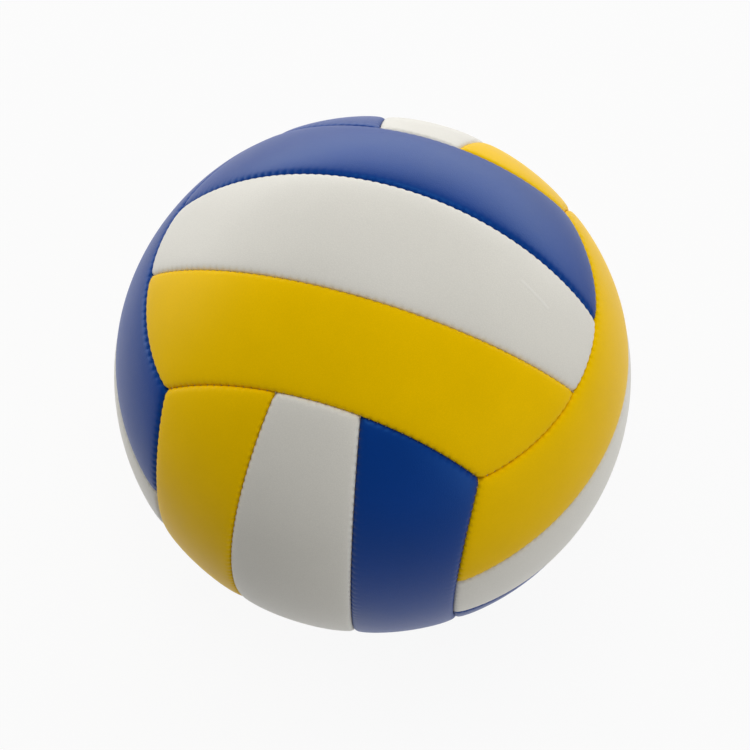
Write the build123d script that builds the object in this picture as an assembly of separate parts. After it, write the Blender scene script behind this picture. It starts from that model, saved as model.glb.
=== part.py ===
from build123d import *
import os
from math import acos, atan2, cos, degrees, radians, sin, sqrt

# A sewn volleyball in millimetres: six groups of three strips around a rubber bladder with a valve.
# Each strip is a skin with turned-in edges over a foam pad and a cloth lining.
# The origin is the ball's centre. +Z is the middle of the top group, whose strips run along X.

# Ball and strips, measured over the ball's surface
BALL_DIAMETER = 210.0
MIDDLE_STRIP_WIDTH = 49.0
MIDDLE_STRIP_END_WIDTH = 32.0

# Layers of a strip, from the outside in
SKIN = 1.0
FOAM = 2.4
CLOTH = 0.4
GLUE_LINE = 0.05

# Turned-in edges: the bevel of the turn, the depth of the edge and the gap between two edges
EDGE_BEVEL = 1.8
SEAM_ALLOWANCE = 4.4
SEAM_GAP = 0.1

# Sewing thread along the two backs of a sewn edge
THREAD = 0.6
THREAD_CLEARANCE = 0.1

# Bladder
BLADDER_WALL = 0.6
BLADDER_CLEARANCE = 0.15

# Valve body: a boss through the cover, a flange inside the bladder and a stem below the flange
VALVE_RECESS = 0.8
VALVE_BOSS_DIAMETER = 10.0
VALVE_HOLE_CLEARANCE = 0.3
VALVE_FLANGE_DIAMETER = 30.0
VALVE_FLANGE = 1.2
VALVE_STEM_FLOOR = 2.0
AIR_PASSAGE_DIAMETER = 2.4

# Valve plug, with a needle hole that opens in a funnel
PLUG_HEAD_DIAMETER = 7.0
PLUG_HEAD = 1.2
PLUG_DIAMETER = 5.0
PLUG_LENGTH = 16.0
PLUG_FIT = 0.05
PLUG_HEAD_CLEARANCE = 0.2
PLUG_END_CLEARANCE = 0.5
NEEDLE_HOLE_DIAMETER = 2.0
NEEDLE_HOLE_DEPTH = 11.0
FUNNEL_DIAMETER = 3.2
FUNNEL_DEPTH = 1.0

# Each group's outward direction, the direction of its strips, and its colours across the group
GROUPS = {
    "top": ((0, 0, 1), (1, 0, 0), ("yellow", "white", "blue")),
    "bottom": ((0, 0, -1), (-1, 0, 0), ("blue", "white", "yellow")),
    "right": ((1, 0, 0), (0, 1, 0), ("blue", "white", "yellow")),
    "left": ((-1, 0, 0), (0, -1, 0), ("yellow", "white", "blue")),
    "back": ((0, 1, 0), (0, 0, 1), ("blue", "white", "yellow")),
    "front": ((0, -1, 0), (0, 0, -1), ("yellow", "white", "blue")),
}
VALVE_PANEL = ("back", "white")

# Radii of the layers
BALL_RADIUS = BALL_DIAMETER / 2
FOAM_RADIUS = BALL_RADIUS - SKIN - GLUE_LINE
CLOTH_RADIUS = FOAM_RADIUS - FOAM - GLUE_LINE
COVER_INNER_RADIUS = min(CLOTH_RADIUS - CLOTH, BALL_RADIUS - SEAM_ALLOWANCE)
BLADDER_RADIUS = COVER_INNER_RADIUS - BLADDER_CLEARANCE
BLADDER_INNER_RADIUS = BLADDER_RADIUS - BLADDER_WALL

# Distances from a seam's middle
INNER_BEVEL = max(EDGE_BEVEL - SKIN * (2 - sqrt(2)), 0)
EDGE_FACE = SEAM_GAP / 2
EDGE_BACK = EDGE_FACE + SKIN
THREAD_OFFSET = EDGE_BACK + THREAD_CLEARANCE + THREAD / 2
PAD_EDGE = max(EDGE_BACK + INNER_BEVEL, THREAD_OFFSET + THREAD / 2) + THREAD_CLEARANCE
THREAD_RADIUS = BALL_RADIUS - (EDGE_BEVEL + SEAM_ALLOWANCE) / 2

# A group's outer seams lie on circles at this angle from an axis, through the corners of a cube
CORNER_ANGLE = degrees(acos(1 / sqrt(3)))

# Directions in a group's own frame: along its strips, across them and out of the ball
ALONG = Vector(1, 0, 0)
ACROSS = Vector(0, 1, 0)
OUTWARD = Vector(0, 0, 1)

# The seam beside a middle strip is flat, through the strip's half widths at its middle and its end
END_CIRCLE_RADIUS = BALL_RADIUS * sin(radians(CORNER_ANGLE))
END_HALF_TURN = MIDDLE_STRIP_END_WIDTH / 2 / END_CIRCLE_RADIUS
HALF_STRIP_TURN = MIDDLE_STRIP_WIDTH / 2 / BALL_RADIUS
STRIP_MIDDLE = BALL_RADIUS * (ACROSS * sin(HALF_STRIP_TURN) + OUTWARD * cos(HALF_STRIP_TURN))
STRIP_END = (
    END_CIRCLE_RADIUS * (ALONG * cos(END_HALF_TURN) + ACROSS * sin(END_HALF_TURN))
    + OUTWARD * (BALL_RADIUS * cos(radians(CORNER_ANGLE)))
)
STRIP_AXIS = ALONG.cross(STRIP_END - STRIP_MIDDLE).normalized()
if STRIP_AXIS.dot(ACROSS) < 0:
    STRIP_AXIS = -STRIP_AXIS
STRIP_DISTANCE = STRIP_AXIS.dot(STRIP_MIDDLE)
STRIP_UP = ALONG.cross(STRIP_AXIS).normalized()
STRIP_HALF_TURN = degrees(atan2(STRIP_END.dot(ALONG), STRIP_END.dot(STRIP_UP)))
EDGE_HALF_TURN = 45.0
HALF_TURN_ABOUT_OUTWARD = Rot(0, 0, 180)

# A bevel's cutter runs this far each way from its seam's middle, past the strip's corners
BEVEL_HALF_TURN = 75.0


def seam_frame(axis, middle):
    """The frame of a seam: z along the axis of its circle and x towards its middle."""
    return Plane(origin=(0, 0, 0), x_dir=middle, z_dir=axis).location


def seam_point(angle, radius, offset):
    """A point beside a seam, in the plane through the seam's axis and its middle."""
    radial = Vector(sin(radians(angle)), 0, cos(radians(angle)))
    sideways = Vector(cos(radians(angle)), 0, -sin(radians(angle)))
    return radius * radial + offset * sideways


def strip_angle(radius):
    """The angle from its axis at which the flat seam beside the middle strip meets a sphere."""
    return degrees(acos(STRIP_DISTANCE / radius))


def corner_cone(axis, middle, growth):
    """All within the corner angle of an axis, grown by a distance, with its joint opposite the middle."""
    reach = 2 * BALL_RADIUS
    apex = Vector(0, 0, -growth / sin(radians(CORNER_ANGLE)))
    corners = [apex] + [apex + seam_point(turn, reach, 0) for turn in (CORNER_ANGLE, CORNER_ANGLE / 2, 0)]
    profile = make_face(Polyline(*[(-corner.X, 0, corner.Z) for corner in corners], close=True))
    return seam_frame(axis, middle) * revolve(profile, Axis.Z, 360)


def beside_middle(growth):
    """All that lies beyond the seam beside the middle strip, grown by a distance."""
    reach = 4 * BALL_RADIUS
    half_space = Box(reach, reach, reach, align=(Align.CENTER, Align.CENTER, Align.MIN))
    return seam_frame(STRIP_AXIS, STRIP_UP) * Pos(0, 0, STRIP_DISTANCE - growth) * half_space


def bevel_cutter(axis, middle, angle, radius, inset, bevel):
    """The ring that bevels an edge beside a seam. A negative inset is for an edge within the seam's circle."""
    side = 1 if inset > 0 else -1
    corners = [
        seam_point(angle, radius + bevel, inset + 2 * side * bevel),
        seam_point(angle, radius - 2 * bevel, inset - side * bevel),
        seam_point(angle, radius + bevel, inset - side * bevel),
    ]
    ring = revolve(make_face(Polyline(*corners, close=True)), Axis.Z, 2 * BEVEL_HALF_TURN)
    return seam_frame(axis, middle) * Rot(0, 0, -BEVEL_HALF_TURN) * ring


def cut_away(block, cutters):
    """A block with each cutter's share taken off in turn."""
    for cutter in cutters:
        block = block - cutter
    return block.solid()


def shell(radius, inner_radius):
    """A spherical shell whose poles lie across the strips, clear of every seam."""
    return Rot(90, 0, 0) * (Sphere(radius) - Sphere(inner_radius))


def end_bevels(radius, inset, bevel):
    """The cutters for the two ends of a strip."""
    cutter = bevel_cutter(OUTWARD, ALONG, CORNER_ANGLE, radius, -inset, bevel)
    return [cutter, HALF_TURN_ABOUT_OUTWARD * cutter]


def middle_block(radius, inner_radius, inset, bevel=0):
    """The middle strip's stretch of a shell, set in from its seams."""
    block = shell(radius, inner_radius) & corner_cone(OUTWARD, ACROSS, -inset)
    beside = beside_middle(inset)
    cutters = [beside, HALF_TURN_ABOUT_OUTWARD * beside]
    if bevel:
        cutter = bevel_cutter(STRIP_AXIS, STRIP_UP, strip_angle(radius), radius, inset, bevel)
        cutters += [cutter, HALF_TURN_ABOUT_OUTWARD * cutter] + end_bevels(radius, inset, bevel)
    return cut_away(block, cutters)


def outer_block(radius, inner_radius, inset, bevel=0):
    """An outer strip's stretch of a shell, set in from its seams."""
    block = shell(radius, inner_radius) & corner_cone(OUTWARD, ACROSS, -inset) & beside_middle(-inset)
    cutters = [corner_cone(ACROSS, OUTWARD, inset)]
    if bevel:
        cutters.append(bevel_cutter(STRIP_AXIS, STRIP_UP, strip_angle(radius), radius, -inset, bevel))
        cutters.append(bevel_cutter(ACROSS, OUTWARD, CORNER_ANGLE, radius, inset, bevel))
        cutters += end_bevels(radius, inset, bevel)
    return cut_away(block, cutters)


def thread_run(angle, start, end, offset):
    """The thread along one side of a seam between two turns about the seam's axis, in degrees."""
    place = seam_point(angle, THREAD_RADIUS, offset)
    margin = degrees(2 * THREAD_OFFSET / place.X)
    section = Plane(origin=place, z_dir=(0, 1, 0)) * Circle(THREAD / 2)
    thread = revolve(section, Axis.Z, end - start - 2 * margin)
    return Rot(0, 0, start + margin) * thread


def make_strip(block_maker):
    """A strip in its group's own frame: a skin turned into the seams, a foam pad and a cloth lining."""
    block = block_maker(BALL_RADIUS, BALL_RADIUS - SEAM_ALLOWANCE, EDGE_FACE, EDGE_BEVEL)
    below = BALL_RADIUS - 2 * SEAM_ALLOWANCE
    hollow = block_maker(BALL_RADIUS - SKIN, below, EDGE_BACK, INNER_BEVEL)
    return {
        "panel": (block - hollow).solid(),
        "foam": block_maker(FOAM_RADIUS, FOAM_RADIUS - FOAM, PAD_EDGE),
        "cloth": block_maker(CLOTH_RADIUS, CLOTH_RADIUS - CLOTH, PAD_EDGE),
    }


def make_group_threads():
    """The threads of a group's four seams, two beside its middle strip and two along its long sides."""
    strip_seam = seam_frame(STRIP_AXIS, STRIP_UP)
    edge_seam = seam_frame(ACROSS, OUTWARD)
    threads = []
    for side in (-THREAD_OFFSET, THREAD_OFFSET):
        run = thread_run(strip_angle(THREAD_RADIUS), -STRIP_HALF_TURN, STRIP_HALF_TURN, side)
        threads.append(strip_seam * run)
    threads.append(edge_seam * thread_run(CORNER_ANGLE, -EDGE_HALF_TURN, EDGE_HALF_TURN, THREAD_OFFSET))
    junction = degrees(END_HALF_TURN)
    turns = (-EDGE_HALF_TURN, -junction, junction, EDGE_HALF_TURN)
    for start, end in zip(turns, turns[1:]):
        threads.append(edge_seam * thread_run(CORNER_ANGLE, start, end, -THREAD_OFFSET))
    return threads + [HALF_TURN_ABOUT_OUTWARD * thread for thread in threads]


def valve_bar(diameter, start, end):
    """A round bar on the valve's axis between two heights from the ball's centre."""
    bar = Cylinder(diameter / 2, end - start, align=(Align.CENTER, Align.CENTER, Align.MIN))
    return Pos(0, 0, start) * bar


# Heights on the valve's axis from the ball's centre
VALVE_FACE = BALL_RADIUS - VALVE_RECESS
PLUG_SEAT = VALVE_FACE - PLUG_HEAD
PLUG_TIP = PLUG_SEAT - PLUG_LENGTH
PLUG_POCKET = PLUG_TIP - PLUG_END_CLEARANCE
VALVE_STEM_END = PLUG_POCKET - VALVE_STEM_FLOOR
FLANGE_RADIUS = BLADDER_INNER_RADIUS - GLUE_LINE


def make_valve_body():
    flange = shell(FLANGE_RADIUS, FLANGE_RADIUS - VALVE_FLANGE) & valve_bar(
        VALVE_FLANGE_DIAMETER, 0, BALL_RADIUS
    )
    body = flange + valve_bar(VALVE_BOSS_DIAMETER, VALVE_STEM_END, VALVE_FACE)
    body = body - valve_bar(PLUG_HEAD_DIAMETER + 2 * PLUG_HEAD_CLEARANCE, PLUG_SEAT - GLUE_LINE, BALL_RADIUS)
    body = body - valve_bar(PLUG_DIAMETER + 2 * PLUG_FIT, PLUG_POCKET, BALL_RADIUS)
    return (body - valve_bar(AIR_PASSAGE_DIAMETER, 0, BALL_RADIUS)).solid()


def make_valve_plug():
    plug = valve_bar(PLUG_HEAD_DIAMETER, PLUG_SEAT, VALVE_FACE) + valve_bar(PLUG_DIAMETER, PLUG_TIP, PLUG_SEAT)
    plug = plug - valve_bar(NEEDLE_HOLE_DIAMETER, VALVE_FACE - NEEDLE_HOLE_DEPTH, VALVE_FACE)
    funnel = Cone(NEEDLE_HOLE_DIAMETER / 2, FUNNEL_DIAMETER / 2, FUNNEL_DEPTH)
    return (plug - Pos(0, 0, VALVE_FACE - FUNNEL_DEPTH / 2) * funnel).solid()


def make_bladder():
    hole = valve_bar(VALVE_BOSS_DIAMETER + 2 * GLUE_LINE, 0, BALL_RADIUS)
    return (shell(BLADDER_RADIUS, BLADDER_INNER_RADIUS) - hole).solid()


def make_parts():
    """Every node of the ball by name."""
    strips = {"middle": make_strip(middle_block), "outer": make_strip(outer_block)}
    threads = make_group_threads()
    valve_hole = valve_bar(VALVE_BOSS_DIAMETER + 2 * VALVE_HOLE_CLEARANCE, 0, 2 * BALL_RADIUS)
    parts = {}
    for group, (outward, along, colours) in GROUPS.items():
        place = Plane(origin=(0, 0, 0), x_dir=along, z_dir=outward).location
        turns = (HALF_TURN_ABOUT_OUTWARD, Location(), Location())
        kinds = ("outer", "middle", "outer")
        linings = []
        for turn, kind, colour in zip(turns, kinds, colours):
            layers = {layer: turn * piece for layer, piece in strips[kind].items()}
            if (group, colour) == VALVE_PANEL:
                layers = {layer: (piece - valve_hole).solid() for layer, piece in layers.items()}
            parts[f"panel_{group}_{colour}"] = place * layers["panel"]
            parts[f"foam_{group}_{colour}"] = place * layers["foam"]
            linings.append(place * layers["cloth"])
        parts[f"lining_{group}"] = Compound(linings)
        parts[f"stitching_{group}"] = Compound([place * thread for thread in threads])
    outward, along, _ = GROUPS[VALVE_PANEL[0]]
    valve_place = Plane(origin=(0, 0, 0), x_dir=along, z_dir=outward).location
    parts["bladder"] = valve_place * make_bladder()
    parts["valve_body"] = valve_place * make_valve_body()
    parts["valve_plug"] = valve_place * make_valve_plug()
    return parts


os.makedirs("parts", exist_ok=True)
for name, shape in make_parts().items():
    export_step(shape, f"parts/{name}.step")
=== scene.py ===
from math import acos, atan2, cos, pi, radians, sin, sqrt

import bmesh
import bpy
import numpy as np
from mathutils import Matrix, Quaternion, Vector


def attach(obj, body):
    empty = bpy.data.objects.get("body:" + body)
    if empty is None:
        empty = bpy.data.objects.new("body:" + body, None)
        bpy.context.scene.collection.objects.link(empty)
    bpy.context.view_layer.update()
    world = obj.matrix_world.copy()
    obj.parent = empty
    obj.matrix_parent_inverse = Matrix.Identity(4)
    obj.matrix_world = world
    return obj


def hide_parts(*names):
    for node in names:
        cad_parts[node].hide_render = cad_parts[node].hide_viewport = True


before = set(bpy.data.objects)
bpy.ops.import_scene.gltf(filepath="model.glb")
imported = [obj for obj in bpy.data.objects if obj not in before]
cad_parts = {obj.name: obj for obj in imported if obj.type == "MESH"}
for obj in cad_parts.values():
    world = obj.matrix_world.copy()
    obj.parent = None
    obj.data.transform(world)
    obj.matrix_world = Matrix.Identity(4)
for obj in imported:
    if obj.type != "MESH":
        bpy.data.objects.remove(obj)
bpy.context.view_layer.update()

# A sewn volleyball. All lengths are in metres, and the origin is the ball's centre.
MM = 0.001

# Ball and strips, measured over the ball's surface
BALL_RADIUS = 105.0 * MM
MIDDLE_STRIP_WIDTH = 49.0 * MM
MIDDLE_STRIP_END_WIDTH = 32.0 * MM

# Cover panels: the leather's thickness, the width and drop of its rounded edge, how deep the edge is
# turned in, half the gap between two edges, where the pad begins, and the sink towards the seams
LEATHER = 1.0 * MM
EDGE_ROUND = 2.0 * MM
EDGE_DROP = 0.9 * MM
EDGE_DEPTH = 4.3 * MM
EDGE_FACE = 0.05 * MM
PAD_EDGE = 2.2 * MM
SEAM_SINK = 0.8 * MM
SEAM_SINK_REACH = 2.8 * MM

# Stitches: their spacing along a seam, the pinch of the leather at each, and the thread's thickness,
# its depth and distance from the seam behind the edges, and its depth where it crosses the seam
STITCH_PITCH = 3.2 * MM
PINCH = 0.75 * MM
PINCH_REACH = 0.7 * MM
THREAD = 0.45 * MM
THREAD_DEPTH = 3.1 * MM
THREAD_BACK = 1.45 * MM
THREAD_CROWN = 2.1 * MM

# Valve, on the axis of the back group: radii, and heights from the ball's centre
VALVE_GROUP = "back"
VALVE_HOLE_RADIUS = 5.3 * MM
VALVE_DIMPLE = 0.35 * MM
VALVE_DIMPLE_REACH = 5.0 * MM
BOSS_RADIUS = 5.0 * MM
BOSS_FACE = 104.2 * MM
FLANGE_RADIUS = 15.0 * MM
FLANGE_TOP = 99.8 * MM
FLANGE_BASE = 98.6 * MM
STEM_END = 84.5 * MM
AIR_PASSAGE_RADIUS = 1.2 * MM
HEAD_POCKET_RADIUS = 3.7 * MM
PLUG_POCKET_RADIUS = 2.55 * MM
PLUG_POCKET_END = 86.5 * MM
PLUG_HEAD_RADIUS = 3.5 * MM
PLUG_SEAT = 103.0 * MM
PLUG_RADIUS = 2.5 * MM
PLUG_TIP = 87.0 * MM
NEEDLE_HOLE_RADIUS = 1.0 * MM
NEEDLE_HOLE_END = 93.2 * MM
FUNNEL_RADIUS = 1.6 * MM
FUNNEL_DEPTH = 1.0 * MM
SMALL_ROUND = 0.35 * MM
SEAT_CLEARANCE = 0.05 * MM

# A faint scuff on the top white panel, a shallow scratch made paler by a painted highlight: its ends,
# its half width, its height and how pale its painted highlight is
SCUFF_START = (54.9 * MM, 6.1 * MM, 89.3 * MM)
SCUFF_END = (65.9 * MM, 2.7 * MM, 81.7 * MM)
SCUFF_HALF_WIDTH = 0.9 * MM
SCUFF_HEIGHT = 0.06 * MM
SCUFF_PAINTED_HIGHLIGHT = 0.12

# Each group's outward direction, the direction of its strips, and its colours across the group
GROUPS = {
    "top": ((0, 0, 1), (1, 0, 0), ("yellow", "white", "blue")),
    "bottom": ((0, 0, -1), (-1, 0, 0), ("blue", "white", "yellow")),
    "right": ((1, 0, 0), (0, 1, 0), ("blue", "white", "yellow")),
    "left": ((-1, 0, 0), (0, -1, 0), ("yellow", "white", "blue")),
    "back": ((0, 1, 0), (0, 0, 1), ("blue", "white", "yellow")),
    "front": ((0, -1, 0), (0, 0, -1), ("yellow", "white", "blue")),
}

# Seams in a group's own frame: x along the strips, y across them and z out of the ball
CORNER_ANGLE = acos(1 / sqrt(3))
ALONG = np.array((1.0, 0.0, 0.0))
ACROSS = np.array((0.0, 1.0, 0.0))
OUTWARD = np.array((0.0, 0.0, 1.0))
END_HALF_TURN = MIDDLE_STRIP_END_WIDTH / 2 / (BALL_RADIUS * sin(CORNER_ANGLE))
HALF_STRIP_TURN = MIDDLE_STRIP_WIDTH / 2 / BALL_RADIUS
STRIP_MIDDLE = np.array((0.0, sin(HALF_STRIP_TURN), cos(HALF_STRIP_TURN)))
STRIP_END = np.array(
    (
        sin(CORNER_ANGLE) * cos(END_HALF_TURN),
        sin(CORNER_ANGLE) * sin(END_HALF_TURN),
        cos(CORNER_ANGLE),
    )
)
STRIP_AXIS = np.cross(STRIP_END - STRIP_MIDDLE, ALONG)
STRIP_AXIS *= np.sign(STRIP_AXIS[1]) / np.linalg.norm(STRIP_AXIS)
STRIP_ANGLE = acos(STRIP_AXIS @ STRIP_MIDDLE)
STRIP_UP = np.cross(ALONG, STRIP_AXIS)
STRIP_HALF_TURN = atan2(STRIP_END @ ALONG, STRIP_END @ STRIP_UP)
EDGE_HALF_TURN = pi / 4
MIRROR_ACROSS = np.array((1.0, -1.0, 1.0))
MIRROR_ALONG = np.array((-1.0, 1.0, 1.0))


class Seam:
    """A circle on the ball: its axis, its middle and its angle from the axis."""

    def __init__(self, axis, middle, angle):
        self.axis = np.asarray(axis, float)
        self.middle = np.asarray(middle, float)
        self.angle = angle
        self.forward = np.cross(self.axis, self.middle)

    def point(self, turn, tilt=0.0):
        """Unit points at turns about the axis, tilted away from the seam by an angle."""
        turn = np.asarray(turn, float)[..., None]
        spoke = self.middle * np.cos(turn) + self.forward * np.sin(turn)
        return self.axis * cos(self.angle + tilt) + spoke * sin(self.angle + tilt)

    def distance(self, points):
        """Distances over the ball's surface from the seam, positive away from its axis."""
        return BALL_RADIUS * (np.arccos(np.clip(points @ self.axis, -1, 1)) - self.angle)

    def run(self, points):
        """Distances along the seam from its middle, or from the point opposite if that is nearer."""
        turn = np.arctan2(points @ self.forward, np.abs(points @ self.middle))
        return BALL_RADIUS * sin(self.angle) * turn

    def mirrored(self, mirror):
        return Seam(self.axis * mirror, self.middle * mirror, self.angle)


STRIP_SEAM = Seam(STRIP_AXIS, STRIP_UP, STRIP_ANGLE)
EDGE_SEAM = Seam(ACROSS, OUTWARD, CORNER_ANGLE)
END_SEAM = Seam(OUTWARD, ALONG, CORNER_ANGLE)


def middle_sides(share):
    side = STRIP_SEAM.point((2 * share - 1) * STRIP_HALF_TURN)
    return side * MIRROR_ACROSS, side


def middle_ends(share):
    end = END_SEAM.point((2 * share - 1) * END_HALF_TURN)
    return end * MIRROR_ALONG, end


def outer_sides(share):
    turn = 2 * share - 1
    return STRIP_SEAM.point(turn * STRIP_HALF_TURN), EDGE_SEAM.point(turn * EDGE_HALF_TURN)


def outer_ends(share):
    end = END_SEAM.point(END_HALF_TURN + share * (EDGE_HALF_TURN - END_HALF_TURN))
    return end * MIRROR_ALONG, end


# Steps of a panel's mesh: in from its edges and along them, and the wider ones inside it
EDGE_STEPS = np.array((0.0, 0.06, 0.15, 0.28, 0.45, 0.65, 0.9, 1.2, 1.6, 2.2, 3.0, 4.0, 5.5)) * MM
INSIDE_START = 7.5 * MM
INNER_FACE_START = 3.2 * MM
SEAM_STEP = STITCH_PITCH / 8
COARSENING = 4
PROBES = 201


class Strip:
    """One kind of strip: its sides, its ends, and each seam with the side on which the strip lies."""

    def __init__(self, sides, ends, seams):
        self.sides = sides
        self.ends = ends
        self.seams = seams
        self.probe = np.linspace(0, 1, PROBES)
        first, second = sides(self.probe)
        self.widths = BALL_RADIUS * np.arccos(np.clip(np.sum(first * second, axis=1), -1, 1))
        self.lengths = []
        for side in (first, second):
            self.lengths.append(BALL_RADIUS * np.sum(np.linalg.norm(np.diff(side, axis=0), axis=1)))
        self.rows = round(max(self.widths) / (COARSENING * SEAM_STEP))
        self.columns = round(max(self.lengths) / (COARSENING * SEAM_STEP))

    def points(self, across, along, inset):
        """Unit points at shares of the strip's width and length, in from its seams by an inset."""
        length = self.lengths[0] + across * (self.lengths[1] - self.lengths[0])
        along = (inset + along * (length - 2 * inset)) / length
        width = np.interp(along, self.probe, self.widths)
        across = (inset + across * (width - 2 * inset)) / width
        right = across[..., None]
        far = along[..., None]
        side_a, side_b = self.sides(along)
        end_a, end_b = self.ends(across)
        near_corners, far_corners = self.ends(np.array((0.0, 1.0)))
        points = (1 - right) * side_a + right * side_b + (1 - far) * end_a + far * end_b
        points -= (1 - right) * ((1 - far) * near_corners[0] + far * far_corners[0])
        points -= right * ((1 - far) * near_corners[1] + far * far_corners[1])
        return points / np.linalg.norm(points, axis=-1, keepdims=True)

    def inside(self):
        """Shares across and along the strip at the corners of its wide steps."""
        across = np.linspace(0, 1, self.rows + 1)
        return np.meshgrid(across, np.linspace(0, 1, self.columns + 1), indexing="ij")

    def border(self):
        """Shares across and along the strip in close steps round its border."""
        rows = np.arange(COARSENING * self.rows) / (COARSENING * self.rows)
        columns = np.arange(COARSENING * self.columns) / (COARSENING * self.columns)
        across = np.concatenate((0 * columns, rows, 1 + 0 * columns, 1 - rows))
        along = np.concatenate((columns, 1 + 0 * rows, 1 - columns, 0 * rows))
        return across, along


MIDDLE_SEAMS = [(STRIP_SEAM, 1), (STRIP_SEAM.mirrored(MIRROR_ACROSS), 1), (END_SEAM, -1)]
OUTER_SEAMS = [(STRIP_SEAM, -1), (EDGE_SEAM, 1), (END_SEAM, -1)]
STRIPS = {
    "middle": Strip(middle_sides, middle_ends, MIDDLE_SEAMS),
    "outer": Strip(outer_sides, outer_ends, OUTER_SEAMS),
}


def edge_distances(strip, points):
    """Each point's distance in from each seam of its strip, and its place along that seam."""
    rows = []
    for seam, side in strip.seams:
        rows.append((np.maximum(side * seam.distance(points), 0), seam.run(points)))
    return rows


def round_depth(rows, inset, radius):
    """How far the round of the edges lies below the surface, 0 away from the edges."""
    total = 0
    for distance, _ in rows:
        total = total + np.clip(radius - (distance - inset), 0, radius) ** 2
    reach = np.minimum(np.sqrt(total), radius)
    return radius - np.sqrt(radius**2 - reach**2)


def outer_surface(strip, points, with_valve):
    """Unit points moved to the leather's outer face."""
    rows = edge_distances(strip, points)
    depth = round_depth(rows, EDGE_FACE, EDGE_ROUND) * EDGE_DROP / EDGE_ROUND
    for distance, run in rows:
        depth = depth + SEAM_SINK * np.exp(-distance / SEAM_SINK_REACH)
        pull = ((1 + np.cos(2 * pi * run / STITCH_PITCH)) / 2) ** 2
        depth = depth + PINCH * pull * np.exp(-distance / PINCH_REACH)
    if with_valve:
        from_axis = BALL_RADIUS * np.arccos(np.clip(points @ OUTWARD, -1, 1))
        from_hole = np.maximum(from_axis - VALVE_HOLE_RADIUS, 0)
        depth = depth + VALVE_DIMPLE * np.exp(-((from_hole / VALVE_DIMPLE_REACH) ** 2))
    return points * (BALL_RADIUS - depth)[..., None]


def inner_surface(strip, points):
    """Unit points moved to the leather's inner face, which lies on the foam pad."""
    rows = edge_distances(strip, points)
    depth = LEATHER + round_depth(rows, EDGE_FACE + LEATHER, EDGE_ROUND - LEATHER)
    for distance, _ in rows:
        depth = depth + SEAM_SINK * np.clip(1 - distance / PAD_EDGE, 0, 1)
    return points * (BALL_RADIUS - depth)[..., None]


def rim_of(shape):
    """Indices of a grid's border, in order."""
    rows, columns = shape
    index = np.arange(rows * columns).reshape(shape)
    return np.concatenate((index[0, :-1], index[:-1, -1], index[-1, :0:-1], index[:0:-1, 0]))


def grid_faces(shape, start, flip):
    """Faces of a grid of points whose indices begin at a start, turned over if flipped."""
    rows, columns = shape
    index = np.arange(rows * columns).reshape(shape) + start
    corners = (index[:-1, :-1], index[1:, :-1], index[1:, 1:], index[:-1, 1:])
    faces = np.stack(corners, axis=-1).reshape(-1, 4)
    return faces[:, ::-1] if flip else faces


def band_faces(first, second):
    """Faces between two rings of points, as lists of indices."""
    return np.stack((first, second, np.roll(second, -1), np.roll(first, -1)), axis=-1).tolist()


def transition_faces(fine, coarse):
    """Triangles between a ring of close steps and a ring of wide ones."""
    faces = []
    half = COARSENING // 2
    for step, first in enumerate(coarse):
        second = coarse[(step + 1) % len(coarse)]
        run = [fine[(COARSENING * step + offset) % len(fine)] for offset in range(COARSENING + 1)]
        for offset in range(COARSENING):
            faces.append((run[offset], run[offset + 1], first if offset < half else second))
        faces.append((first, run[half], second))
    return faces


def strip_mesh(strip, with_valve):
    """Vertices and faces of a strip's leather: outer face, turned-in edge and inner face."""
    inside = strip.inside()
    border = strip.border()
    outer_face = outer_surface(strip, strip.points(*inside, INSIDE_START), with_valve)
    inner_face = inner_surface(strip, strip.points(*inside, INNER_FACE_START))
    loops = []
    for step in EDGE_STEPS[::-1]:
        loops.append(outer_surface(strip, strip.points(*border, EDGE_FACE + step), with_valve))
    edge = strip.points(*border, EDGE_FACE)
    back = strip.points(*border, EDGE_FACE + LEATHER)
    loops.append((loops[-1] + edge * (BALL_RADIUS - EDGE_DEPTH)) / 2)
    loops.append(edge * (BALL_RADIUS - EDGE_DEPTH))
    loops.append(back * (BALL_RADIUS - EDGE_DEPTH))
    loops.append(inner_surface(strip, back))
    loops.append(inner_surface(strip, strip.points(*border, PAD_EDGE)))
    shape = outer_face.shape[:2]
    inside_count = shape[0] * shape[1]
    vertices = np.concatenate([outer_face.reshape(-1, 3), inner_face.reshape(-1, 3)] + loops)
    rings = 2 * inside_count + np.arange(len(loops) * len(edge)).reshape(len(loops), len(edge))
    rim = rim_of(shape)
    faces = grid_faces(shape, 0, False).tolist()
    faces += grid_faces(shape, inside_count, True).tolist()
    faces += transition_faces(rings[0], rim)
    faces += transition_faces(rings[-1], rim + inside_count)
    for first, second in zip(rings, rings[1:]):
        faces += band_faces(first, second)
    return vertices, faces


def group_axes(group):
    """Columns are the group's own x, y and z directions in the ball's frame."""
    outward, along, _ = GROUPS[group]
    across = np.cross(outward, along)
    return np.stack((along, across, outward), axis=1).astype(float)


def mesh_object(name, vertices, faces, material, smooth=True):
    """A new object in the scene, with its faces turned outwards."""
    mesh = bpy.data.meshes.new(name)
    mesh.from_pydata(vertices.tolist(), [], [tuple(face) for face in faces])
    mesh.validate()
    shaped = bmesh.new()
    shaped.from_mesh(mesh)
    bmesh.ops.recalc_face_normals(shaped, faces=shaped.faces)
    shaped.to_mesh(mesh)
    shaped.free()
    mesh.polygons.foreach_set("use_smooth", [smooth] * len(mesh.polygons))
    mesh.materials.append(material)
    piece = bpy.data.objects.new(name, mesh)
    bpy.context.scene.collection.objects.link(piece)
    return piece


# Thread: the sides round it, and the points along a piece of it that crosses a seam
TUBE_SIDES = 8
CROSSING_STEPS = 9


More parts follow.
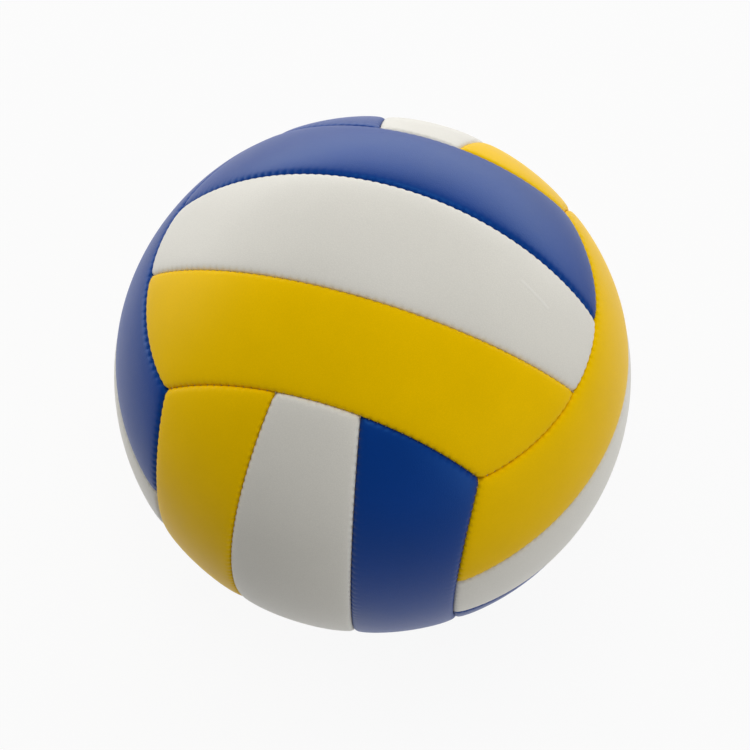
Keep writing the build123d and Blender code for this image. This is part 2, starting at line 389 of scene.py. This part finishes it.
def tube(path, radius, ups):
    """A closed tube along points, with a given up direction at each."""
    count = len(path)
    forward = np.gradient(path, axis=0)
    forward /= np.linalg.norm(forward, axis=1, keepdims=True)
    sideways = np.cross(forward, ups)
    sideways /= np.linalg.norm(sideways, axis=1, keepdims=True)
    ups = np.cross(sideways, forward)
    turns = 2 * pi * np.arange(TUBE_SIDES) / TUBE_SIDES
    ring = np.cos(turns)[None, :, None] * sideways[:, None]
    ring = ring + np.sin(turns)[None, :, None] * ups[:, None]
    vertices = (path[:, None] + radius * ring).reshape(-1, 3)
    index = np.arange(count * TUBE_SIDES).reshape(count, TUBE_SIDES)
    faces = []
    for first, second in zip(index, index[1:]):
        faces += band_faces(first, second)
    faces += [index[0].tolist(), index[-1, ::-1].tolist()]
    return vertices, faces


def seam_place(seam, turn, offset, depth):
    """A point beside a seam: its turn, its offset sideways and its depth below the surface."""
    return seam.point(turn, offset / BALL_RADIUS) * (BALL_RADIUS - depth)


def seam_stitches(seam, half_turn):
    """A seam's thread: a run behind each edge, and a short bar over the groove at each stitch."""
    seam_radius = BALL_RADIUS * sin(seam.angle)
    reach = half_turn - 2 * THREAD_BACK / seam_radius
    tubes = []
    turns = np.linspace(-reach, reach, int(2 * reach * seam_radius / STITCH_PITCH))
    for offset in (-THREAD_BACK, THREAD_BACK):
        path = seam_place(seam, turns, offset, THREAD_DEPTH)
        tubes.append(tube(path, THREAD / 2, path / np.linalg.norm(path, axis=1, keepdims=True)))
    last = int(reach * seam_radius / STITCH_PITCH)
    for stitch in range(-last, last + 1):
        turn = stitch * STITCH_PITCH / seam_radius
        path = []
        for share in np.linspace(-1, 1, CROSSING_STEPS):
            depth = THREAD_CROWN + (THREAD_DEPTH - THREAD_CROWN) * share**2
            path.append(seam_place(seam, turn, share * THREAD_BACK, depth))
        path = np.array(path)
        tubes.append(tube(path, THREAD / 2, np.broadcast_to(seam.point(turn), path.shape)))
    return tubes


def group_stitches():
    """Vertices and faces of the thread in a group's four seams."""
    tubes = []
    seams = ((STRIP_SEAM, STRIP_HALF_TURN), (EDGE_SEAM, EDGE_HALF_TURN))
    for seam, half_turn in seams:
        tubes += seam_stitches(seam, half_turn)
        tubes += seam_stitches(seam.mirrored(MIRROR_ACROSS), half_turn)
    vertices = []
    faces = []
    start = 0
    for tube_vertices, tube_faces in tubes:
        vertices.append(tube_vertices)
        faces += [[corner + start for corner in face] for face in tube_faces]
        start += len(tube_vertices)
    return np.concatenate(vertices), faces


# Turned pieces: their sides, the steps on their rounds, and the angles above which an edge is sharp
LATHE_SIDES = 64
CORNER_STEPS = 5
FUNNEL_STEPS = 3
DOME_STEPS = 8
VALVE_SHARP = radians(40)
HOLE_SHARP = radians(50)

# Points closer than this are merged, and faces with more corners than this are split
SAME_POINT = 0.002 * MM
MOST_CORNERS = 4


def clean_mesh(mesh):
    """Merges points in one place, removes what that leaves empty, and splits many-sided faces."""
    shaped = bmesh.new()
    shaped.from_mesh(mesh)
    bmesh.ops.remove_doubles(shaped, verts=shaped.verts, dist=SAME_POINT)
    bmesh.ops.dissolve_degenerate(shaped, edges=shaped.edges, dist=SAME_POINT)
    loose = [edge for edge in shaped.edges if not edge.link_faces]
    bmesh.ops.delete(shaped, geom=loose, context="EDGES")
    many_sided = [face for face in shaped.faces if len(face.verts) > MOST_CORNERS]
    bmesh.ops.triangulate(shaped, faces=many_sided, ngon_method="BEAUTY")
    bmesh.ops.recalc_face_normals(shaped, faces=shaped.faces)
    shaped.to_mesh(mesh)
    shaped.free()


def lathe_object(name, profile, axes, material):
    """A closed profile of radii and heights turned about the group's outward axis."""
    profile = np.array(profile)
    turns = 2 * pi * np.arange(LATHE_SIDES) / LATHE_SIDES
    spokes = np.stack((np.cos(turns), np.sin(turns)), axis=1)
    rings = profile[:, None, :1] * spokes[None]
    heights = np.broadcast_to(profile[:, None, 1:], (len(profile), LATHE_SIDES, 1))
    vertices = np.concatenate((rings, heights), axis=2).reshape(-1, 3)
    index = np.arange(len(vertices)).reshape(len(profile), LATHE_SIDES)
    faces = []
    for first, second in zip(index, np.roll(index, -1, axis=0)):
        faces += band_faces(first, second)
    piece = mesh_object(name, vertices @ axes.T, faces, material)
    clean_mesh(piece.data)
    piece.data.polygons.foreach_set("use_smooth", [True] * len(piece.data.polygons))
    piece.data.set_sharp_from_angle(angle=VALVE_SHARP)
    return piece


def rounded_corner(centre, radius, start, end, steps=CORNER_STEPS):
    """Points on a profile's rounded corner, between two angles in degrees."""
    points = []
    for turn in np.radians(np.linspace(start, end, steps)):
        points.append((centre[0] + radius * cos(turn), centre[1] + radius * sin(turn)))
    return points


def dome(radius, start, end):
    """Points on a sphere about the ball's centre, between two distances from the axis."""
    distances = np.linspace(start, end, DOME_STEPS)
    return [(distance, sqrt(radius**2 - distance**2)) for distance in distances]


def valve_body_profile():
    small = SMALL_ROUND
    profile = [(AIR_PASSAGE_RADIUS, STEM_END)]
    profile += rounded_corner((BOSS_RADIUS - small, STEM_END + small), small, -90, 0)
    profile += dome(FLANGE_BASE, BOSS_RADIUS, FLANGE_RADIUS)
    profile += dome(FLANGE_TOP, FLANGE_RADIUS, BOSS_RADIUS)
    profile += rounded_corner((BOSS_RADIUS - small, BOSS_FACE - small), small, 0, 90)
    rim = small / 2
    profile += rounded_corner((HEAD_POCKET_RADIUS + rim, BOSS_FACE - rim), rim, 90, 180)
    seat = PLUG_SEAT - SEAT_CLEARANCE
    profile += [(HEAD_POCKET_RADIUS, seat), (PLUG_POCKET_RADIUS, seat)]
    profile += [(PLUG_POCKET_RADIUS, PLUG_POCKET_END), (AIR_PASSAGE_RADIUS, PLUG_POCKET_END)]
    return profile


def valve_plug_profile():
    small = SMALL_ROUND
    profile = [(0, PLUG_TIP)]
    tip = 2 * small
    profile += rounded_corner((PLUG_RADIUS - tip, PLUG_TIP + tip), tip, -90, 0)
    profile += [(PLUG_RADIUS, PLUG_SEAT), (PLUG_HEAD_RADIUS, PLUG_SEAT)]
    profile += rounded_corner((PLUG_HEAD_RADIUS - small, BOSS_FACE - small), small, 0, 90)
    profile += rounded_corner((FUNNEL_RADIUS + small, BOSS_FACE - small), small, 90, 135, FUNNEL_STEPS)
    profile.append((NEEDLE_HOLE_RADIUS, BOSS_FACE - FUNNEL_DEPTH))
    profile += [(NEEDLE_HOLE_RADIUS, NEEDLE_HOLE_END), (0, NEEDLE_HOLE_END)]
    return profile


def cut_valve_hole(piece, axes):
    """Cuts the round hole for the valve through a panel."""
    turns = 2 * pi * np.arange(LATHE_SIDES) / LATHE_SIDES
    ring = VALVE_HOLE_RADIUS * np.stack((np.cos(turns), np.sin(turns), 0 * turns), axis=1)
    low_ring = ring + OUTWARD * (BALL_RADIUS - EDGE_DEPTH)
    high_ring = ring + OUTWARD * (BALL_RADIUS + EDGE_DEPTH)
    vertices = np.concatenate((low_ring, high_ring)) @ axes.T
    low, high = np.arange(2 * LATHE_SIDES).reshape(2, LATHE_SIDES)
    faces = band_faces(low, high) + [low.tolist(), high[::-1].tolist()]
    cutter = mesh_object("valve_hole_cutter", vertices, faces, piece.data.materials[0])
    cut = piece.modifiers.new("valve_hole", "BOOLEAN")
    cut.operation = "DIFFERENCE"
    cut.solver = "EXACT"
    cut.object = cutter
    seen = piece.evaluated_get(bpy.context.evaluated_depsgraph_get())
    holed = bpy.data.meshes.new_from_object(seen)
    piece.modifiers.clear()
    piece.data = holed
    clean_mesh(holed)
    holed.set_sharp_from_angle(angle=HOLE_SHARP)
    bpy.data.objects.remove(cutter)


# Finishes. The noises' scales are per metre.
NOISE_RANGE = (0.3, 0.7)

# Leather: uneven tone, then the grain with its creases and bent lines, the creases darkened with
# painted shade, and the finest bumps
TONE_SCALE = 28.0
TONE_DETAIL = 4.0
LEATHER_ROUGHNESS = 0.38
SMOOTHER = 0.05
ROUGHER = 0.07
GRAIN_SCALE = 1300.0
GRAIN_BEND_SCALE = 700.0
GRAIN_BEND = 1.2 * MM
CREASE_WIDTH = 0.22
CREASE_SHADE_SHARE = 0.22
CREASE_SHADE_TONE = 0.8
FINE_SCALE = 2200.0
FINE_DETAIL = 3.0
FINE_SHARE = 0.35
GRAIN_STRENGTH = 0.22
GRAIN_HEIGHT = 0.08 * MM

# Cloth and thread: the weave's scale as a share of the fibres', its waviness, and the tones and bumps
FIBRE_DETAIL = 3.0
WEAVE_SHARE = 0.3
WEAVE_WAVINESS = 1.5
FIBRE_SHARE = 0.6
FIBRE_TONES = (0.8, 1.08)
FIBRE_STRENGTH = 0.4
FIBRE_HEIGHT = 0.08 * MM

# Rubber and foam: patches of tone and roughness, and the bumps of the skin
PATCH_SCALE = 60.0
PATCH_DETAIL = 4.0
PATCH_TONES = (0.85, 1.15)
PATCH_ROUGHNESS = 0.08
SKIN_DETAIL = 5.0
SKIN_STRENGTH = 0.3
SKIN_HEIGHT = 0.1 * MM


def new_material(name):
    material = bpy.data.materials.new(name)
    material.use_nodes = True
    tree = material.node_tree
    return material, tree, tree.nodes["Principled BSDF"]


def add_node(tree, kind, inputs=None, **settings):
    node = tree.nodes.new(kind)
    for key, value in settings.items():
        setattr(node, key, value)
    for key, value in (inputs or {}).items():
        if isinstance(value, bpy.types.NodeSocket):
            tree.links.new(value, node.inputs[key])
        else:
            node.inputs[key].default_value = value
    return node


def ramp(tree, factor, low, high, first, last):
    """A colour that goes from one to another between two values of the factor."""
    node = add_node(tree, "ShaderNodeValToRGB", {"Fac": factor})
    node.color_ramp.elements[0].position = first
    node.color_ramp.elements[1].position = last
    node.color_ramp.elements[0].color = (*low, 1)
    node.color_ramp.elements[1].color = (*high, 1)
    return node.outputs["Color"]


def value_range(tree, value, low, high):
    node = add_node(tree, "ShaderNodeMapRange", {"Value": value, "To Min": low, "To Max": high})
    return node.outputs["Result"]


def shade(colour, factor):
    return tuple(min(max(channel * factor, 0.0), 1.0) for channel in colour)


def noise(tree, place, scale, detail):
    return add_node(tree, "ShaderNodeTexNoise", {"Vector": place, "Scale": scale, "Detail": detail})


def tones(tree, pattern, colour, darkest, lightest):
    """A colour that varies with a noise between two shares of itself."""
    dark = shade(colour, darkest)
    light = shade(colour, lightest)
    return ramp(tree, pattern.outputs["Fac"], dark, light, *NOISE_RANGE)


def scuff_and_highlight_mask(tree, place):
    """1 on the short scuff of the top white panel, falling to 0 beside it. It places both the scuff's
    bump and its painted highlight.
    """
    along = Vector(SCUFF_END) - Vector(SCUFF_START)
    offset = add_node(tree, "ShaderNodeVectorMath", {0: place, 1: SCUFF_START}, operation="SUBTRACT")
    offset = offset.outputs["Vector"]
    share = add_node(
        tree,
        "ShaderNodeVectorMath",
        {0: offset, 1: along / along.length_squared},
        operation="DOT_PRODUCT",
    )
    kept = add_node(tree, "ShaderNodeClamp", {"Value": share.outputs["Value"]})
    nearest = add_node(
        tree, "ShaderNodeVectorMath", {0: along, "Scale": kept.outputs["Result"]}, operation="SCALE"
    )
    distance = add_node(
        tree, "ShaderNodeVectorMath", {0: offset, 1: nearest.outputs["Vector"]}, operation="DISTANCE"
    )
    fade = add_node(
        tree,
        "ShaderNodeMapRange",
        {
            "Value": distance.outputs["Value"],
            "From Max": SCUFF_HALF_WIDTH,
            "To Min": 1.0,
            "To Max": 0.0,
        },
    )
    return fade.outputs["Result"]


def leather_material(name, colour, tone, gloss, tint):
    """Fine-grained synthetic leather with slightly uneven colour and sheen, painted shade in the
    creases of its grain and a painted highlight on the scuff.
    """
    material, tree, shader = new_material(name)
    place = add_node(tree, "ShaderNodeTexCoord").outputs["Object"]
    clouds = noise(tree, place, TONE_SCALE, TONE_DETAIL)
    fine = noise(tree, place, FINE_SCALE, FINE_DETAIL)
    warp = noise(tree, place, GRAIN_BEND_SCALE, 1.0)
    bent = add_node(
        tree,
        "ShaderNodeVectorMath",
        {0: warp.outputs["Color"], 1: (GRAIN_BEND, GRAIN_BEND, GRAIN_BEND), 2: place},
        operation="MULTIPLY_ADD",
    )
    grain = add_node(
        tree,
        "ShaderNodeTexVoronoi",
        {"Vector": bent.outputs["Vector"], "Scale": GRAIN_SCALE},
        feature="DISTANCE_TO_EDGE",
    )
    creases = ramp(tree, grain.outputs["Distance"], (0, 0, 0), (1, 1, 1), 0.0, CREASE_WIDTH)
    base = tones(tree, clouds, colour, 1 - tone, 1 + tone)
    # Painted shade: the colour darkens in the grain's creases
    crease_shaded = add_node(
        tree,
        "ShaderNodeMix",
        {
            "Factor": value_range(tree, creases, CREASE_SHADE_SHARE, 0.0),
            "A": base,
            "B": (*shade(colour, CREASE_SHADE_TONE), 1),
        },
        data_type="RGBA",
    )
    scuff_and_highlight = scuff_and_highlight_mask(tree, place)
    # Painted highlight: the scuff's colour is made paler towards white
    scuff_highlighted = add_node(
        tree,
        "ShaderNodeMix",
        {
            "Factor": value_range(tree, scuff_and_highlight, 0.0, SCUFF_PAINTED_HIGHLIGHT),
            "A": crease_shaded.outputs["Result"],
            "B": (1.0, 1.0, 1.0, 1.0),
        },
        data_type="RGBA",
    )
    tree.links.new(scuff_highlighted.outputs["Result"], shader.inputs["Base Color"])
    smoothest = LEATHER_ROUGHNESS - SMOOTHER
    roughest = LEATHER_ROUGHNESS + ROUGHER
    uneven = value_range(tree, clouds.outputs["Fac"], smoothest, roughest)
    tree.links.new(uneven, shader.inputs["Roughness"])
    shader.inputs["Specular IOR Level"].default_value = gloss
    shader.inputs["Specular Tint"].default_value = (*tint, 1)
    height = add_node(
        tree,
        "ShaderNodeMath",
        {0: fine.outputs["Fac"], 1: FINE_SHARE, 2: creases},
        operation="MULTIPLY_ADD",
    )
    grain_bump = add_node(
        tree,
        "ShaderNodeBump",
        {"Height": height.outputs["Value"], "Strength": GRAIN_STRENGTH, "Distance": GRAIN_HEIGHT},
    )
    scuff_bump = add_node(
        tree,
        "ShaderNodeBump",
        {
            "Height": scuff_and_highlight,
            "Strength": 1.0,
            "Distance": SCUFF_HEIGHT,
            "Normal": grain_bump.outputs["Normal"],
        },
    )
    tree.links.new(scuff_bump.outputs["Normal"], shader.inputs["Normal"])
    return material


def fibre_material(name, colour, scale, roughness):
    """Cloth or thread: fine crossed fibres."""
    material, tree, shader = new_material(name)
    place = add_node(tree, "ShaderNodeTexCoord").outputs["Object"]
    fibres = noise(tree, place, scale, FIBRE_DETAIL)
    weave = add_node(
        tree,
        "ShaderNodeTexWave",
        {"Vector": place, "Scale": scale * WEAVE_SHARE, "Distortion": WEAVE_WAVINESS},
    )
    mixed = add_node(
        tree,
        "ShaderNodeMath",
        {0: fibres.outputs["Fac"], 1: FIBRE_SHARE, 2: weave.outputs["Fac"]},
        operation="MULTIPLY_ADD",
    )
    tree.links.new(tones(tree, fibres, colour, *FIBRE_TONES), shader.inputs["Base Color"])
    shader.inputs["Roughness"].default_value = roughness
    bump = add_node(
        tree,
        "ShaderNodeBump",
        {"Height": mixed.outputs["Value"], "Strength": FIBRE_STRENGTH, "Distance": FIBRE_HEIGHT},
    )
    tree.links.new(bump.outputs["Normal"], shader.inputs["Normal"])
    return material


def moulded_material(name, colour, scale, roughness):
    """Moulded rubber or foam: a fine matte skin with uneven gloss."""
    material, tree, shader = new_material(name)
    place = add_node(tree, "ShaderNodeTexCoord").outputs["Object"]
    patches = noise(tree, place, PATCH_SCALE, PATCH_DETAIL)
    skin = noise(tree, place, scale, SKIN_DETAIL)
    tree.links.new(tones(tree, patches, colour, *PATCH_TONES), shader.inputs["Base Color"])
    smoothest = roughness - PATCH_ROUGHNESS
    roughest = roughness + PATCH_ROUGHNESS
    uneven = value_range(tree, patches.outputs["Fac"], smoothest, roughest)
    tree.links.new(uneven, shader.inputs["Roughness"])
    bump = add_node(
        tree,
        "ShaderNodeBump",
        {"Height": skin.outputs["Fac"], "Strength": SKIN_STRENGTH, "Distance": SKIN_HEIGHT},
    )
    tree.links.new(bump.outputs["Normal"], shader.inputs["Normal"])
    return material


# Each leather's colour, the unevenness of its tone, its gloss and the tint of its gloss
LEATHER_FINISHES = {
    "blue": ((0.0003, 0.027, 0.195), 0.06, 0.45, (0.1, 0.4, 0.9)),
    "white": ((0.75, 0.73, 0.665), 0.02, 0.15, (1.0, 1.0, 1.0)),
    "yellow": ((0.89, 0.55, 0.0), 0.04, 0.07, (1.0, 0.7, 0.02)),
}
LEATHERS = {}
for colour, finish in LEATHER_FINISHES.items():
    LEATHERS[colour] = leather_material(f"leather_{colour}", *finish)

# The other finishes: colour, scale and roughness
# The thread is given a darker tan than its own pale colour, as painted shade of the groove it lies in
thread_material = fibre_material("sewing_thread", (0.46, 0.38, 0.22), 2500.0, 0.75)
cloth_material = fibre_material("lining_cloth", (0.60, 0.57, 0.49), 1500.0, 0.85)
foam_material = moulded_material("foam", (0.80, 0.80, 0.77), 1400.0, 0.8)
butyl_material = moulded_material("butyl_rubber", (0.018, 0.018, 0.018), 900.0, 0.55)
valve_material = moulded_material("valve_rubber", (0.03, 0.03, 0.032), 1500.0, 0.5)
LAYER_MATERIALS = {"foam": foam_material, "lining": cloth_material, "bladder": butyl_material}

# Cover panels
for group, (_, _, colours) in GROUPS.items():
    axes = group_axes(group)
    for place, (kind, colour) in enumerate(zip(("outer", "middle", "outer"), colours)):
        with_valve = group == VALVE_GROUP and kind == "middle"
        vertices, faces = strip_mesh(STRIPS[kind], with_valve)
        # The first outer strip is the other one turned half round
        if place == 0:
            vertices = vertices * (-1, -1, 1)
        piece = mesh_object(f"cover_{group}_{colour}", vertices @ axes.T, faces, LEATHERS[colour])
        if with_valve:
            cut_valve_hole(piece, axes)
        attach(piece, "ball")
        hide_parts(f"panel_{group}_{colour}")

# Stitching
vertices, faces = group_stitches()
for group in GROUPS:
    piece = mesh_object(f"thread_{group}", vertices @ group_axes(group).T, faces, thread_material)
    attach(piece, "ball")
    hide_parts(f"stitching_{group}")

# Valve
valve_axes = group_axes(VALVE_GROUP)
body = lathe_object("valve_boss", valve_body_profile(), valve_axes, valve_material)
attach(body, "ball")
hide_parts("valve_body")
plug = lathe_object("needle_plug", valve_plug_profile(), valve_axes, valve_material)
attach(plug, "plug")
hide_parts("valve_plug")

# Layers under the cover keep their solids and get their own finish
for name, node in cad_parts.items():
    layer = name.split("_")[0]
    if layer in LAYER_MATERIALS:
        node.data.materials.clear()
        node.data.materials.append(LAYER_MATERIALS[layer])


def softbox(name, place, width, height, brightness):
    """A rectangular softbox that faces the ball. Its brightness is that of its face."""
    light = bpy.data.lights.new(name, "AREA")
    light.shape = "RECTANGLE"
    light.size = width
    light.size_y = height
    light.energy = brightness * pi * width * height
    lamp = bpy.data.objects.new(name, light)
    lamp.location = place
    lamp.rotation_euler = (-Vector(place)).to_track_quat("-Z", "Y").to_euler()
    bpy.context.scene.collection.objects.link(lamp)


# Each softbox's place, width, height and brightness
SOFTBOXES = {
    "overhead_softbox": ((0.0, 0.1, 1.1), 0.8, 0.8, 2.8),
    "left_softbox": ((-1.0, 0.15, 0.25), 0.6, 0.6, 2.8),
    "right_softbox": ((0.95, -0.4, 0.25), 0.6, 0.6, 2.2),
    "back_softbox": ((-0.05, 1.25, 0.25), 3.4, 0.7, 2.4),
}
for name, (place, width, height, brightness) in SOFTBOXES.items():
    softbox(name, place, width, height, brightness)


def background_rays(tree):
    """1 for rays that see the background, straight from the camera or in a reflection or glass."""
    path = add_node(tree, "ShaderNodeLightPath")
    total = path.outputs["Is Camera Ray"]
    for kind in ("Is Glossy Ray", "Is Transmission Ray"):
        rays = {0: total, 1: path.outputs[kind]}
        either = add_node(tree, "ShaderNodeMath", rays, operation="MAXIMUM")
        total = either.outputs["Value"]
    return total


# The room is a dim light on the ball, and white behind it
WORLD_LIGHT = 0.2
world = bpy.data.worlds.new("studio")
bpy.context.scene.world = world
world.use_nodes = True
room = world.node_tree.nodes["Background"]
room.inputs["Color"].default_value = (1, 1, 1, 1)
strength = value_range(world.node_tree, background_rays(world.node_tree), WORLD_LIGHT, 1.0)
world.node_tree.links.new(strength, room.inputs["Strength"])

# The floor is white to the camera and in reflections, and keeps a share of the ball's shadow
FLOOR_HALF = 12.0
FLOOR_GREY = 0.65
FLOOR_ROUGHNESS = 0.9
FLOOR_WHITE_SHARE = 0.92
floor_corners = np.array([(-1, -1, 0), (1, -1, 0), (1, 1, 0), (-1, 1, 0)], float) * FLOOR_HALF
floor_corners[:, 2] = -BALL_RADIUS
floor_material, tree, shader = new_material("floor")
shader.inputs["Base Color"].default_value = (FLOOR_GREY, FLOOR_GREY, FLOOR_GREY, 1)
shader.inputs["Roughness"].default_value = FLOOR_ROUGHNESS
white = add_node(tree, "ShaderNodeEmission", {"Color": (1, 1, 1, 1), "Strength": 1.0})
share = value_range(tree, background_rays(tree), 0.0, FLOOR_WHITE_SHARE)
mixed = add_node(
    tree, "ShaderNodeMixShader", {0: share, 1: shader.outputs["BSDF"], 2: white.outputs["Emission"]}
)
tree.links.new(mixed.outputs["Shader"], tree.nodes["Material Output"].inputs["Surface"])
floor = mesh_object("floor", floor_corners, np.array([(0, 1, 2, 3)]), floor_material, smooth=False)

# Camera at the photo's viewing angle. The ball's radius and middle in the image are in pixels.
CAMERA_AZIMUTH = radians(18.8)
CAMERA_ELEVATION = radians(61.4)
CAMERA_ROLL = radians(-1.1)
CAMERA_DISTANCE = 6.0 * BALL_RADIUS
IMAGE_SIZE = 750
BALL_PIXELS = 258.6
BALL_CENTRE = (372.5, 374.4)
SENSOR_WIDTH = 36.0
camera_data = bpy.data.cameras.new("camera")
pixels_per_tangent = BALL_PIXELS * sqrt((CAMERA_DISTANCE / BALL_RADIUS) ** 2 - 1)
camera_data.sensor_width = SENSOR_WIDTH
camera_data.lens = SENSOR_WIDTH * pixels_per_tangent / IMAGE_SIZE
camera_data.shift_x = (IMAGE_SIZE / 2 - BALL_CENTRE[0]) / IMAGE_SIZE
camera_data.shift_y = (BALL_CENTRE[1] - IMAGE_SIZE / 2) / IMAGE_SIZE
camera = bpy.data.objects.new("camera", camera_data)
camera_back = Vector(
    (
        sin(CAMERA_AZIMUTH) * cos(CAMERA_ELEVATION),
        -cos(CAMERA_AZIMUTH) * cos(CAMERA_ELEVATION),
        sin(CAMERA_ELEVATION),
    )
)
camera.location = camera_back * CAMERA_DISTANCE
camera_turn = (-camera_back).to_track_quat("-Z", "Y") @ Quaternion((0, 0, 1), CAMERA_ROLL)
camera.rotation_euler = camera_turn.to_euler()
bpy.context.scene.collection.objects.link(camera)
bpy.context.scene.camera = camera
bpy.context.scene.view_settings.view_transform = "Standard"
